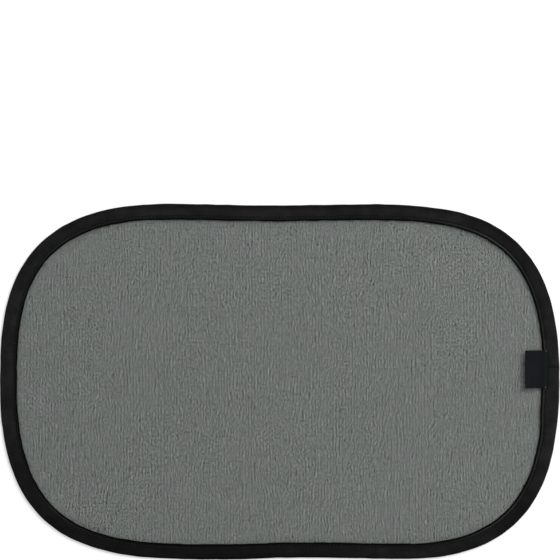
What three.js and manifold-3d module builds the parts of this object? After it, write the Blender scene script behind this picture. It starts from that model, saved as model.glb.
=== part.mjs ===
// Car side window sunshade: knitted mesh with a cling film behind it, kept taut by a spring
// steel hoop that runs inside a folded and stitched edge binding.
// The shade lies on its back. +X runs along it, +Y is up as it hangs on the window and +Z points
// into the car. All sizes are in millimetres.

import * as THREE from "three";
import { mergeVertices } from "three/addons/utils/BufferGeometryUtils.js";
import Module from "manifold-3d";

const wasm = await Module();
wasm.setup();

// Outline of the whole shade
const LENGTH = 480;
const HEIGHT = 305.2;
const LEFT_END_Y = -4.5; // height of the outermost point of each end
const RIGHT_END_Y = 7.2;
const TOP_LEFT_CREST_X = -98.5; // the long edges have two crests and a shallow dip between them
const TOP_DIP_X = 2;
const TOP_RIGHT_CREST_X = 61;
const TOP_DIP = 1.4;
const TOP_RIGHT_DROP = 0.4; // how much lower the second crest is than the first
const BOTTOM_LEFT_CREST_X = -51;
const BOTTOM_DIP_X = 21;
const BOTTOM_RIGHT_CREST_X = 108.5;
const BOTTOM_DIP = 1.7;
const BOTTOM_RIGHT_DROP = 0.5;

// How square each corner is: the pull of its curve along the crest and along the end, as parts of
// the corner's own width and height. 0.55 both ways is a plain quarter of an ellipse.
const TOP_RIGHT_PULL = { crest: 0.466, end: 1.02 };
const TOP_LEFT_PULL = { crest: 1.003, end: 0.382 };
const BOTTOM_LEFT_PULL = { crest: 0.497, end: 0.993 };
const BOTTOM_RIGHT_PULL = { crest: 0.95, end: 0.417 };
const WAVE_PULL = 0.4; // the same between a crest and the dip beside it

// Edge binding: one woven tape folded round the hoop, with both edges turned under and sewn
const TAPE_THICKNESS = 0.45;
const WIDTH_LEFT = 14.8;
const WIDTH_TOP = 13.9;
const WIDTH_RIGHT = 14.2;
const WIDTH_BOTTOM = 13.4;
const SEAM_INSET = 3; // from the binding's inner edge to the stitch line
const SEAM_DIP = 0.35; // how deep the stitches pull the tape down
const SEAM_GROOVE = 1.8; // width of the groove that they pull
const GROOVE_LIP = 0.12; // how far the groove's two lips lie below the band
const HEM_SHOULDER = 1; // from the inner edge to where the hem is level
const HEM_TURN = 6; // width of tape turned under at the inner edge
const EDGE_ROUND = 0.35; // rounding where the tape turns under
const CROWN_FALL = 3.6; // width over which the band falls from its crown to the groove

// Lap on the right end, where the tape's upper end covers its lower one
const LAP_EDGE_Y = 12.6; // height of the upper end's edge
const LAP_STEP = 0.6; // length over which that edge drops to the tape under it
const LAP_LENGTH = 38;
const LAP_FADE = 24; // length over which the band settles again past the lap
const LAP_SPREAD = 1.3; // how much wider the band is at the lap

// Spring hoop and the sleeve crimped over its two ends
const HOOP_WIRE_DIAMETER = 1.2;
const HOOP_END_GAP = 0.6;
const HOOP_JOIN_X = 0; // place of the join along the bottom edge
const SLEEVE_WALL = 0.2;
const SLEEVE_BORE_GAP = 0.05;
const SLEEVE_LENGTH = 22;
const SLEEVE_PLAY = 0.1; // between the sleeve and the binding's channel

// Sheets that the binding holds at their edges
const LAYER_GAP = 0.1;
const FILM_THICKNESS = 0.2;
const FILM_TUCK = 4.6; // how far each sheet reaches under the binding
const MESH_GROUND_THICKNESS = 0.3;
const MESH_TUCK = 5.2;
const WALE_PITCH = 2.6; // spacing of the upright rows of knitting
const WALE_RISE = 0.2;
const WALE_WIDTH = 1.6;
const GAP_WIDTH = 0.8; // open gaps of the knit, each between two wales
const GAP_COLUMNS = 24;
const GAP_ROWS = 5;
const GAP_BAR = 6; // knitting left between two gaps of a column
const GAP_MARGIN = 8; // and between the last gap and the binding

// Folded label, sewn down by the binding's own stitch line
const LABEL_PLY_THICKNESS = 0.3;
const LABEL_PLY_GAP = 0.1;
const LABEL_HEIGHT = 32.3;
const LABEL_MIDDLE_Y = 10.8;
const LABEL_FREE = 15.5; // from the binding's inner edge to the fold
const LABEL_PAST_SEAM = 1.8; // from the stitch line to the cut ends
const LABEL_CORNER = 1.2;
const LABEL_SEAT = 0.12; // between the label and the binding under it
const LABEL_SAG = 0.55; // how much it sinks between the binding and the fold
const LABEL_CURL = 1.4; // how much the fold stands up again

// Fineness of the facets
const RING_STEPS = 128;
const RIM_STEPS = 6;
const CHANNEL_STEPS = 4;
const WIRE_SIDES = 8;
const SLEEVE_STEPS = 4;
const LABEL_STEPS = 12;
const FOLD_STEPS = 6;
const WELD = 1e-4; // points nearer than this are one
const OVERCUT = 1; // how far a cut reaches past the solid that it cuts
const SEARCH_HALVINGS = 40;
const END_REACH = 0.1; // share of the outline that lies on the right end, each way

// Levels, from the back face at zero
const CHANNEL_RADIUS = HOOP_WIRE_DIAMETER / 2 + SLEEVE_BORE_GAP + SLEEVE_WALL + SLEEVE_PLAY;
const RIM_RADIUS = CHANNEL_RADIUS + TAPE_THICKNESS;
const MIDDLE = RIM_RADIUS;
const MESH_THICKNESS = MESH_GROUND_THICKNESS + WALE_RISE;
const SLOT = FILM_THICKNESS + MESH_THICKNESS + 3 * LAYER_GAP;
const SLOT_BACK = MIDDLE - SLOT / 2;
const SLOT_FRONT = MIDDLE + SLOT / 2;
const FILM_BACK = SLOT_BACK + LAYER_GAP;
const MESH_BACK = FILM_BACK + FILM_THICKNESS + LAYER_GAP;
const HEM_FRONT = SLOT_FRONT + 2 * TAPE_THICKNESS;

/** A manifold solid made of a closed geometry. */
function solidOf(geometry) {
  const bare = geometry.clone();
  bare.deleteAttribute("normal");
  bare.deleteAttribute("uv");
  const merged = mergeVertices(bare, WELD);
  const vertProperties = new Float32Array(merged.attributes.position.array);
  const triVerts = new Uint32Array(merged.index.array);
  return new wasm.Manifold(new wasm.Mesh({ numProp: 3, vertProperties, triVerts }));
}

/** The geometry of a manifold solid. */
function geometryOf(solid) {
  const { vertProperties, triVerts } = solid.getMesh();
  const geometry = new THREE.BufferGeometry();
  geometry.setAttribute("position", new THREE.BufferAttribute(vertProperties, 3));
  geometry.setIndex(new THREE.BufferAttribute(triVerts, 1));
  return geometry;
}

/** The outer edge of the shade, anticlockwise from its right end. */
function makeOutline() {
  const right = new THREE.Vector2(LENGTH / 2, RIGHT_END_Y);
  const left = new THREE.Vector2(-LENGTH / 2, LEFT_END_Y);
  const top = HEIGHT / 2;
  const topRight = new THREE.Vector2(TOP_RIGHT_CREST_X, top - TOP_RIGHT_DROP);
  const topDip = new THREE.Vector2(TOP_DIP_X, top - TOP_DIP);
  const topLeft = new THREE.Vector2(TOP_LEFT_CREST_X, top);
  const bottomLeft = new THREE.Vector2(BOTTOM_LEFT_CREST_X, -top);
  const bottomDip = new THREE.Vector2(BOTTOM_DIP_X, BOTTOM_DIP - top);
  const bottomRight = new THREE.Vector2(BOTTOM_RIGHT_CREST_X, BOTTOM_RIGHT_DROP - top);

  const outline = new THREE.Shape();
  // A corner leaves an end upright and meets a crest level, or the other way round.
  const curve = (from, fromHandle, toHandle, to) =>
    outline.bezierCurveTo(fromHandle.x, fromHandle.y, toHandle.x, toHandle.y, to.x, to.y);
  const endHandle = (end, crest, pull) =>
    new THREE.Vector2(end.x, end.y + (crest.y - end.y) * pull.end);
  const crestHandle = (end, crest, pull) =>
    new THREE.Vector2(crest.x + (end.x - crest.x) * pull.crest, crest.y);
  const toCrest = (end, crest, pull) =>
    curve(end, endHandle(end, crest, pull), crestHandle(end, crest, pull), crest);
  const toEnd = (crest, end, pull) =>
    curve(crest, crestHandle(end, crest, pull), endHandle(end, crest, pull), end);
  const wave = (from, to) => {
    const reach = (to.x - from.x) * WAVE_PULL;
    outline.bezierCurveTo(from.x + reach, from.y, to.x - reach, to.y, to.x, to.y);
  };

  outline.moveTo(right.x, right.y);
  toCrest(right, topRight, TOP_RIGHT_PULL);
  wave(topRight, topDip);
  wave(topDip, topLeft);
  toEnd(topLeft, left, TOP_LEFT_PULL);
  toCrest(left, bottomLeft, BOTTOM_LEFT_PULL);
  wave(bottomLeft, bottomDip);
  wave(bottomDip, bottomRight);
  toEnd(bottomRight, right, BOTTOM_RIGHT_PULL);
  return outline;
}

const outline = makeOutline();
const perimeter = outline.getLength();

/** A share of the outline without its whole turns. */
function turnOf(share) {
  return THREE.MathUtils.euclideanModulo(share, 1);
}

/** The share of the outline between two others at which a measure of its points passes zero. */
function shareWhere(measure, from, to) {
  const beyond = (share) => measure(outline.getPoint(turnOf(share))) > 0;
  let [low, high] = [from, to];
  for (let halving = 0; halving < SEARCH_HALVINGS; halving++) {
    const middle = (low + high) / 2;
    if (beyond(middle) === beyond(to)) {
      high = middle;
    } else {
      low = middle;
    }
  }
  return (low + high) / 2;
}

/** The share of the outline at which its right end has a height. */
function rightEndAt(y) {
  return shareWhere((point) => point.y - y, -END_REACH, END_REACH);
}

const lapEdge = rightEndAt(LAP_EDGE_Y);

/** A place on the outline, the way out of it, and the binding's width and lift there. */
function frameAt(share) {
  const point = outline.getPoint(turnOf(share));
  const along = outline.getTangent(turnOf(share));
  const out = new THREE.Vector2(along.y, -along.x);
  const endWidth = out.x > 0 ? WIDTH_RIGHT : WIDTH_LEFT;
  const edgeWidth = out.y > 0 ? WIDTH_TOP : WIDTH_BOTTOM;
  const { smoothstep } = THREE.MathUtils;
  const past = turnOf(lapEdge - share) * perimeter;
  const doubled = 1 - smoothstep(past, LAP_LENGTH, LAP_LENGTH + LAP_FADE);
  const spread = LAP_SPREAD * doubled * smoothstep(past, 0, LAP_FADE);
  const lift = TAPE_THICKNESS * doubled * smoothstep(past, 0, LAP_STEP);
  return { point, out, width: endWidth * out.x ** 2 + edgeWidth * out.y ** 2 + spread, lift };
}

/** Frames from one share of the outline to another, both ends included. */
function framesBetween(from, to, steps) {
  return Array.from({ length: steps + 1 }, (_, i) => frameAt(from + ((to - from) * i) / steps));
}

const lapFrames = framesBetween(lapEdge - LAP_STEP / perimeter, lapEdge, 1);
const firstAfterLap = Math.ceil(lapEdge * RING_STEPS) / RING_STEPS;
const ringFrames = [
  ...lapFrames,
  ...framesBetween(firstAfterLap, firstAfterLap + 1, RING_STEPS).slice(0, RING_STEPS),
];

/** The point that lies an inset inside the outline at a frame. */
function insetPoint({ point, out }, inset) {
  return point.clone().addScaledVector(out, -inset);
}

/**
 * A section carried along the outline. sectionAt gives, for a frame, the section's corners as
 * vectors of inset and height, anticlockwise and as many at each frame.
 */
function sweep(frames, sectionAt, closed) {
  const rows = frames.map((frame) =>
    sectionAt(frame).map((corner) => {
      const place = insetPoint(frame, corner.x);
      return new THREE.Vector3(place.x, place.y, corner.y);
    }),
  );
  const sides = rows[0].length;
  const index = [];
  const spans = closed ? rows.length : rows.length - 1;
  for (let i = 0; i < spans; i++) {
    for (let j = 0; j < sides; j++) {
      const here = i * sides;
      const next = ((i + 1) % rows.length) * sides;
      const side = (j + 1) % sides;
      index.push(here + j, here + side, next + j, next + j, here + side, next + side);
    }
  }
  if (!closed) {
    const last = (rows.length - 1) * sides;
    const cap = THREE.ShapeUtils.triangulateShape(sectionAt(frames[0]), []);
    cap.forEach(([a, b, c]) => index.push(a, c, b, last + a, last + b, last + c));
  }
  const geometry = new THREE.BufferGeometry().setFromPoints(rows.flat());
  geometry.setIndex(index);
  return geometry;
}

/** Corners of a round section about the hoop's centre line. */
function roundSection(radius, sides) {
  const turn = (2 * Math.PI) / sides;
  return Array.from(
    { length: sides },
    (_, i) =>
      new THREE.Vector2(
        RIM_RADIUS + radius * Math.cos(i * turn),
        MIDDLE + radius * Math.sin(i * turn),
      ),
  );
}

/** Half a circle about the hoop's centre line, round its outer side, from back to front. */
function outerHalf(radius, steps) {
  return Array.from({ length: steps + 1 }, (_, i) => {
    const turned = (Math.PI * i) / steps;
    return new THREE.Vector2(
      RIM_RADIUS - radius * Math.sin(turned),
      MIDDLE - radius * Math.cos(turned),
    );
  });
}

/**
 * The folded tape cut across: the slot for the sheets and the channel for the hoop from back to
 * front, then the hem, the stitch groove, the crowned front ply, the rim and the flat back.
 */
function bindingSection({ width, lift }) {
  const seam = width - SEAM_INSET;
  const hem = width - HEM_TURN;
  const inside = [
    new THREE.Vector2(width, SLOT_BACK),
    new THREE.Vector2(hem, SLOT_BACK),
    new THREE.Vector2(hem - TAPE_THICKNESS, TAPE_THICKNESS),
    ...outerHalf(CHANNEL_RADIUS, CHANNEL_STEPS),
    new THREE.Vector2(hem - TAPE_THICKNESS, HEM_FRONT - TAPE_THICKNESS),
    new THREE.Vector2(hem, SLOT_FRONT),
    new THREE.Vector2(width, SLOT_FRONT),
  ];
  const outside = [
    new THREE.Vector2(width, HEM_FRONT - EDGE_ROUND),
    new THREE.Vector2(width - HEM_SHOULDER, HEM_FRONT),
    new THREE.Vector2(seam + SEAM_GROOVE / 2, HEM_FRONT - GROOVE_LIP),
    new THREE.Vector2(seam, HEM_FRONT - SEAM_DIP),
    new THREE.Vector2(seam - SEAM_GROOVE / 2, HEM_FRONT - GROOVE_LIP),
    new THREE.Vector2(seam - CROWN_FALL, HEM_FRONT),
    ...outerHalf(RIM_RADIUS, RIM_STEPS).reverse(),
    new THREE.Vector2(width - EDGE_ROUND, 0),
    new THREE.Vector2(width, EDGE_ROUND),
  ];
  // The lap lifts the front, and the back stays flat.
  const liftShare = (height) => Math.max(0, (height - MIDDLE) / (HEM_FRONT - MIDDLE));
  return [
    ...inside,
    ...outside.map(({ x, y }) => new THREE.Vector2(x, y + lift * liftShare(y))),
  ];
}

/** The outline of a sheet that reaches under the binding by tuck. */
function sheetShape(tuck) {
  return new THREE.Shape(
    ringFrames.map((frame) => insetPoint(frame, frame.width - tuck)),
  );
}

/** A flat plate of a shape between two levels. */
function plate(shape, back, front) {
  const geometry = new THREE.ExtrudeGeometry(shape, { depth: front - back, bevelEnabled: false });
  return geometry.translate(0, 0, back);
}

function makeBinding() {
  return sweep(ringFrames, bindingSection, true);
}

// The bottom edge is on the second half of the outline.
const hoopJoin = shareWhere((point) => point.x - HOOP_JOIN_X, 1 / 2, 1);

function makeHoop() {
  const end = HOOP_END_GAP / 2 / perimeter;
  const frames = framesBetween(hoopJoin + end, hoopJoin + 1 - end, RING_STEPS);
  return sweep(frames, () => roundSection(HOOP_WIRE_DIAMETER / 2, WIRE_SIDES), false);
}

function makeSleeve() {
  const bore = HOOP_WIRE_DIAMETER / 2 + SLEEVE_BORE_GAP;
  const tube = (radius, length) => {
    const half = length / 2 / perimeter;
    const frames = framesBetween(hoopJoin - half, hoopJoin + half, SLEEVE_STEPS);
    return solidOf(sweep(frames, () => roundSection(radius, 2 * WIRE_SIDES), false));
  };
  return geometryOf(
    tube(bore + SLEEVE_WALL, SLEEVE_LENGTH).subtract(tube(bore, SLEEVE_LENGTH + 2 * OVERCUT)),
  );
}

/** Lowest and highest point of a closed loop of points on the upright line at x. */
function spanAt(points, x) {
  const heights = [];
  points.forEach((a, i) => {
    const b = points[(i + 1) % points.length];
    if (a.x < x !== b.x < x) {
      heights.push(a.y + ((b.y - a.y) * (x - a.x)) / (b.x - a.x));
    }
  });
  return { low: Math.min(...heights), high: Math.max(...heights) };
}

/** The knit cut across its wales: flat behind, one ridge for each wale in front. */
function makeKnit() {
  const wales = Math.ceil(LENGTH / WALE_PITCH / 2);
  const knit = new THREE.Shape();
  const edge = (wales + 0.5) * WALE_PITCH;
  knit.moveTo(-edge, 0);
  knit.lineTo(edge, 0);
  knit.lineTo(edge, MESH_GROUND_THICKNESS);
  for (let i = wales; i >= -wales; i--) {
    knit.lineTo(i * WALE_PITCH + WALE_WIDTH / 2, MESH_GROUND_THICKNESS);
    knit.lineTo(i * WALE_PITCH, MESH_THICKNESS);
    knit.lineTo(i * WALE_PITCH - WALE_WIDTH / 2, MESH_GROUND_THICKNESS);
  }
  knit.lineTo(-edge, MESH_GROUND_THICKNESS);
  const geometry = new THREE.ExtrudeGeometry(knit, { depth: HEIGHT, bevelEnabled: false });
  return geometry.rotateX(Math.PI / 2).translate(0, HEIGHT / 2, MESH_BACK);
}

/** The open gaps of the knit, in columns between two wales. */
function makeGaps() {
  const clear = ringFrames.map((frame) => insetPoint(frame, frame.width + GAP_MARGIN));
  const reach = Math.max(...clear.map((point) => point.x));
  const walesApart = Math.floor((2 * reach) / GAP_COLUMNS / WALE_PITCH);
  const gaps = [];
  for (let column = 0; column < GAP_COLUMNS; column++) {
    const wale = (column - (GAP_COLUMNS - 1) / 2) * walesApart;
    const x = (Math.floor(wale) + 0.5) * WALE_PITCH;
    const { low, high } = spanAt(clear, x);
    const length = (high - low - (GAP_ROWS - 1) * GAP_BAR) / GAP_ROWS;
    for (let row = 0; row < GAP_ROWS; row++) {
      const gap = new THREE.BoxGeometry(GAP_WIDTH, length, 2 * (MESH_THICKNESS + OVERCUT));
      gap.translate(x, low + length / 2 + row * (length + GAP_BAR), MESH_BACK);
      gaps.push(gap);
    }
  }
  return gaps;
}

function makeMeshPanel() {
  const blank = plate(sheetShape(MESH_TUCK), 0, HEM_FRONT);
  let panel = solidOf(makeKnit()).intersect(solidOf(blank));
  for (const gap of makeGaps()) {
    panel = panel.subtract(solidOf(gap));
  }
  return geometryOf(panel);
}

function makeFilm() {
  return plate(sheetShape(FILM_TUCK), FILM_BACK, FILM_BACK + FILM_THICKNESS);
}

/** The label cut across: one ribbon folded back on itself, open between its cut ends. */
function makeLabel() {
  const frame = frameAt(rightEndAt(LABEL_MIDDLE_Y));
  const inner = frame.point.x - frame.width;
  const cut = inner + SEAM_INSET + LABEL_PAST_SEAM;
  const fold = inner - LABEL_FREE;
  const seat = HEM_FRONT + TAPE_THICKNESS + LABEL_SEAT;
  const under = new THREE.SplineCurve([
    new THREE.Vector2(cut, seat),
    new THREE.Vector2(inner, seat),
    new THREE.Vector2(inner - LABEL_FREE / 2, seat - LABEL_SAG),
    new THREE.Vector2(fold, seat - LABEL_SAG + LABEL_CURL),
  ]).getPoints(LABEL_STEPS);
  const thickness = 2 * LABEL_PLY_THICKNESS + LABEL_PLY_GAP;
  const raised = (height) => under.map((p) => new THREE.Vector2(p.x, p.y + height));
  const end = under[LABEL_STEPS];
  // The fold is half a turn from the lower ply to the upper one.
  const turn = (radius) =>
    Array.from({ length: FOLD_STEPS - 1 }, (_, i) => {
      const angle = (Math.PI * (i + 1)) / FOLD_STEPS;
      const middle = end.y + thickness / 2;
      return new THREE.Vector2(
        end.x - radius * Math.sin(angle),
        middle - radius * Math.cos(angle),
      );
    });
  const outside = [...raised(0), ...turn(thickness / 2), ...raised(thickness).reverse()];
  const inside = [
    ...raised(LABEL_PLY_THICKNESS),
    ...turn(LABEL_PLY_GAP / 2),
    ...raised(LABEL_PLY_THICKNESS + LABEL_PLY_GAP).reverse(),
  ];
  const section = new THREE.Shape([...outside, ...inside.reverse()]);
  const ribbon = new THREE.ExtrudeGeometry(section, { depth: LABEL_HEIGHT, bevelEnabled: false });
  ribbon.rotateX(Math.PI / 2).translate(0, LABEL_MIDDLE_Y + LABEL_HEIGHT / 2, 0);

  const low = LABEL_MIDDLE_Y - LABEL_HEIGHT / 2;
  const start = fold - thickness;
  const face = roundedRectangle(start, low, cut + thickness - start, LABEL_HEIGHT, LABEL_CORNER);
  const top = Math.max(seat, end.y) + thickness + OVERCUT;
  return geometryOf(solidOf(ribbon).intersect(solidOf(plate(face, 0, top))));
}

/** A rectangle with round corners on its left side. */
function roundedRectangle(x, y, width, height, radius) {
  const shape = new THREE.Shape();
  shape.moveTo(x + width, y);
  shape.lineTo(x + width, y + height);
  shape.lineTo(x + radius, y + height);
  shape.absarc(x + radius, y + height - radius, radius, Math.PI / 2, Math.PI, false);
  shape.lineTo(x, y + radius);
  shape.absarc(x + radius, y + radius, radius, Math.PI, 1.5 * Math.PI, false);
  return shape;
}

const black = { color: 0x1e1e1f, roughness: 0.85, metalness: 0 };
const knitGrey = { color: 0x6b706d, roughness: 0.9, metalness: 0 };
const clearFilm = {
  color: 0xf2f6f6,
  roughness: 0.2,
  metalness: 0,
  transparent: true,
  opacity: 0.3,
};
const springSteel = { color: 0x8f9295, roughness: 0.35, metalness: 0.9 };
const labelCloth = { color: 0x161e22, roughness: 0.8, metalness: 0 };

const shade = new THREE.Group();
const add = (name, geometry, finish) => {
  const mesh = new THREE.Mesh(geometry, new THREE.MeshStandardMaterial(finish));
  mesh.name = name;
  shade.add(mesh);
};
add("mesh_panel", makeMeshPanel(), knitGrey);
add("cling_film", makeFilm(), clearFilm);
add("edge_binding", makeBinding(), black);
add("spring_hoop", makeHoop(), springSteel);
add("hoop_sleeve", makeSleeve(), springSteel);
add("label", makeLabel(), labelCloth);

export default shade;
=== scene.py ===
"""Car side window sunshade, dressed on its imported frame.

The shade lies on its back on a pale floor and the camera looks straight down on it. Lengths are
in metres, as in the frame. Classes that work out small shapes in millimetres say so.
"""

import logging
import math
import random
from dataclasses import dataclass, field
from enum import Enum
from typing import ClassVar

import bpy
import numpy as np
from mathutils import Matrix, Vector
from mathutils.bvhtree import BVHTree


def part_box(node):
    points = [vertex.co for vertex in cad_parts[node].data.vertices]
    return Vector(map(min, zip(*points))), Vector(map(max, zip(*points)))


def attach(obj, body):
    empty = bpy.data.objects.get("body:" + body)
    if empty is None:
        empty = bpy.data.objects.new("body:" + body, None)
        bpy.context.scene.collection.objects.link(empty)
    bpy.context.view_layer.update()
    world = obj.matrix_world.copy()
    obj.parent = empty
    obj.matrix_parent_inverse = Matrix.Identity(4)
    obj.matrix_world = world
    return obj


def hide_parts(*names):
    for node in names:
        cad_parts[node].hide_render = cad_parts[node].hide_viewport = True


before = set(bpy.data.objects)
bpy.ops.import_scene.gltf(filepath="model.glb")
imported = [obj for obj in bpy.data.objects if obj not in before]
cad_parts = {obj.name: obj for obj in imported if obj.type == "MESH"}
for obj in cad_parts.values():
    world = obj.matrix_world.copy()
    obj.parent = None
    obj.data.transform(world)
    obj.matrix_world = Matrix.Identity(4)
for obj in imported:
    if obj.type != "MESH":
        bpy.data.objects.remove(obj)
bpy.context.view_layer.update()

BODY = "root"
MM = 0.001
log = logging.getLogger("sunshade")
Socket = bpy.types.NodeSocket
Colour = tuple[float, float, float, float]
Array = np.ndarray


class Slot(Enum):
    """The record's material slots, passed along with the new pieces."""

    KNIT = "mesh_knit"
    TAPE = "binding_tape"
    LABEL = "label_cloth"


class Board:
    """The node tree of one material, with short ways to add nodes and join them."""

    def __init__(self, name: str) -> None:
        """Starts an empty material.

        Args:
            name: The material's name.
        """
        self.material = bpy.data.materials.new(name)
        self.material.use_nodes = True
        self.nodes = self.material.node_tree.nodes
        self.links = self.material.node_tree.links
        self.nodes.clear()
        self.output = self.nodes.new("ShaderNodeOutputMaterial")

    def set(self, socket: Socket, value: object) -> None:
        """Joins a socket to another, or writes a plain value on it.

        Args:
            socket: The input to fill.
            value: An output socket, a number, or a tuple of numbers.
        """
        if isinstance(value, Socket):
            self.links.new(value, socket)
        else:
            socket.default_value = value

    def add(self, kind: str, out: int | str = 0, **inputs: object) -> Socket:
        """Adds a node and fills its inputs.

        Args:
            kind: The node's type, without the leading ShaderNode.
            out: The output to hand back.
            **inputs: Values by input name, with _ for a space.

        Returns:
            The chosen output of the new node.
        """
        node = self.nodes.new("ShaderNode" + kind)
        for name, value in inputs.items():
            self.set(node.inputs[name.replace("_", " ")], value)
        return node.outputs[out]

    def math(self, operation: str, *values: object) -> Socket:
        """Adds a Math node.

        Args:
            operation: The node's operation.
            *values: Its inputs in order.

        Returns:
            The result.
        """
        node = self.nodes.new("ShaderNodeMath")
        node.operation = operation
        for socket, value in zip(node.inputs, values):
            self.set(socket, value)
        return node.outputs[0]

    def times(self, first: object, second: object) -> Socket:
        """Two numbers multiplied."""
        return self.math("MULTIPLY", first, second)

    def plus(self, first: object, second: object) -> Socket:
        """Two numbers added."""
        return self.math("ADD", first, second)

    def minus(self, first: object, second: object) -> Socket:
        """The second number taken from the first."""
        return self.math("SUBTRACT", first, second)

    def wave(self, value: Socket, period: float) -> Socket:
        """A sine of a value, its period in the value's own unit."""
        return self.math("SINE", self.times(value, 2 * math.pi / period))

    def vector(self, operation: str, *values: object, scale: object = None) -> Socket:
        """Adds a Vector Math node.

        Args:
            operation: The node's operation.
            *values: Its vectors in order.
            scale: What it scales by, where it does.

        Returns:
            The result.
        """
        node = self.nodes.new("ShaderNodeVectorMath")
        node.operation = operation
        for socket, value in zip(node.inputs, values):
            self.set(socket, value)
        if scale is not None:
            self.set(node.inputs["Scale"], scale)
        return node.outputs[0]

    def millimetres(self) -> Socket:
        """The place on the shade, in millimetres."""
        return self.vector("SCALE", self.add("TexCoord", "Object"), scale=1 / MM)

    def mark(self, name: str) -> Socket:
        """A number that the cloth carries at each point."""
        node = self.nodes.new("ShaderNodeAttribute")
        node.attribute_name = name
        return node.outputs["Fac"]

    def tape_place(self) -> Socket:
        """The place along and across the cloth, in millimetres, from its own map."""
        node = self.nodes.new("ShaderNodeUVMap")
        node.uv_map = Cloth.MAP
        return self.vector("SCALE", node.outputs[0], scale=1 / MM)

    def split(self, place: Socket) -> tuple[Socket, Socket]:
        """The first two parts of a place."""
        node = self.nodes.new("ShaderNodeSeparateXYZ")
        self.set(node.inputs[0], place)
        return node.outputs[0], node.outputs[1]

    def stretched(self, place: Socket, by: tuple[float, float, float]) -> Socket:
        """A place scaled by a factor along each axis."""
        return self.vector("MULTIPLY", place, by)

    def noise(self, place: Socket, grain: float, detail: float = 2.0,
              rough: float = 0.5) -> Socket:
        """Smooth noise about 0.5, in patches of the grain's width."""
        return self.add("TexNoise", 0, Vector=place, Scale=1 / grain, Detail=detail,
                        Roughness=rough)

    def wander(self, place: Socket, grain: float, detail: float = 2.0) -> Socket:
        """The same noise about nought."""
        return self.minus(self.noise(place, grain, detail), 0.5)

    def spread(self, value: Socket, low: float, high: float, to_low: float,
               to_high: float) -> Socket:
        """A value carried smoothly from one range to another, held at its ends.

        Args:
            value: The value.
            low: Where the first range starts.
            high: Where it ends.
            to_low: What low becomes.
            to_high: What high becomes.

        Returns:
            The new value.
        """
        node = self.nodes.new("ShaderNodeMapRange")
        node.interpolation_type = "SMOOTHSTEP"
        for socket, number in zip(node.inputs[:5], (value, low, high, to_low, to_high)):
            self.set(socket, number)
        return node.outputs[0]

    def blend(self, share: object, first: object, second: object) -> Socket:
        """Two colours mixed.

        Args:
            share: How much of the second.
            first: A colour.
            second: A colour.

        Returns:
            The mixed colour.
        """
        node = self.nodes.new("ShaderNodeMix")
        node.data_type = "RGBA"
        self.set(node.inputs[0], share)
        self.set(node.inputs[6], first)
        self.set(node.inputs[7], second)
        return node.outputs[2]

    def darker(self, colour: Socket, share: Socket) -> Socket:
        """A colour times a share."""
        return self.vector("SCALE", colour, scale=share)

    def bump(self, height: Socket, depth: float) -> Socket:
        """A normal pushed about by a height, where 1 stands for a depth in metres."""
        return self.add("Bump", 0, Height=height, Distance=depth, Strength=1.0)

    def cloth(self, colour: Socket, roughness: Socket, normal: Socket, sheen: float,
              shine: float) -> Socket:
        """A cloth shader, with sheen for its fibres' side light and shine for its gloss."""
        return self.add("BsdfPrincipled", 0, Base_Color=colour, Roughness=roughness,
                        Normal=normal, Sheen_Weight=sheen, Sheen_Roughness=0.45,
                        Specular_IOR_Level=shine)

    def together(self, kind: str, first: Socket, second: Socket,
                 share: object = None) -> Socket:
        """Two shaders mixed or added.

        Args:
            kind: MixShader or AddShader.
            first: A shader.
            second: A shader.
            share: How much of the second, for a mix.

        Returns:
            The joined shader.
        """
        node = self.nodes.new("ShaderNode" + kind)
        if share is not None:
            self.set(node.inputs[0], share)
        self.set(node.inputs[-2], first)
        self.set(node.inputs[-1], second)
        return node.outputs[0]

    def finish(self, shader: Socket) -> bpy.types.Material:
        """The finished material, with a shader joined to its output."""
        self.links.new(shader, self.output.inputs["Surface"])
        return self.material


@dataclass(frozen=True)
class TapeFinish:
    """Matte black woven tape: fine ribs across it, fluff, pale flecks, random wear, and light and
    shade painted into its colour.
    """

    dark: Colour = (0.0092, 0.0092, 0.0096, 1)
    pale: Colour = (0.0150, 0.0150, 0.0154, 1)
    fleck: Colour = (0.05, 0.05, 0.052, 1)
    rib: float = 0.9
    weft: float = 0.55
    cloud: float = 9.0
    fluff: float = 0.7
    fleck_length: float = 0.9
    relief: float = 0.00016
    sheen: float = 0.02
    shine: float = 0.06
    LIGHT_AND_WEAR: ClassVar[str] = "painted_light_and_wear"

    def material(self) -> bpy.types.Material:
        """The tape's material."""
        board = Board("woven_tape")
        place = board.tape_place()
        x, y = board.split(place)
        weave = board.times(board.wave(x, self.rib), board.wave(y, self.weft))
        fluff = board.noise(place, self.fluff, 3.0, 0.6)
        cloud = board.noise(board.stretched(place, (0.6, 1, 1)), self.cloud, 3.0)
        colour = board.blend(board.spread(cloud, 0.35, 0.65, 0, 1), self.dark, self.pale)
        flecks = board.noise(board.stretched(place, (0.35, 1, 1)), self.fleck_length, 1.0)
        colour = board.blend(board.spread(flecks, 0.68, 0.8, 0, 0.35), colour, self.fleck)
        # Painted light and shade: the colour is scaled by the binding's mark, which holds painted
        # highlights, painted shade and shadow, and slow random wear.
        colour = board.darker(colour, board.mark(self.LIGHT_AND_WEAR))
        height = board.plus(board.times(weave, 0.35), fluff)
        rough = board.spread(cloud, 0.3, 0.7, 0.78, 0.95)
        return board.finish(board.cloth(colour, rough, board.bump(height, self.relief),
                                        self.sheen, self.shine))


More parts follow.
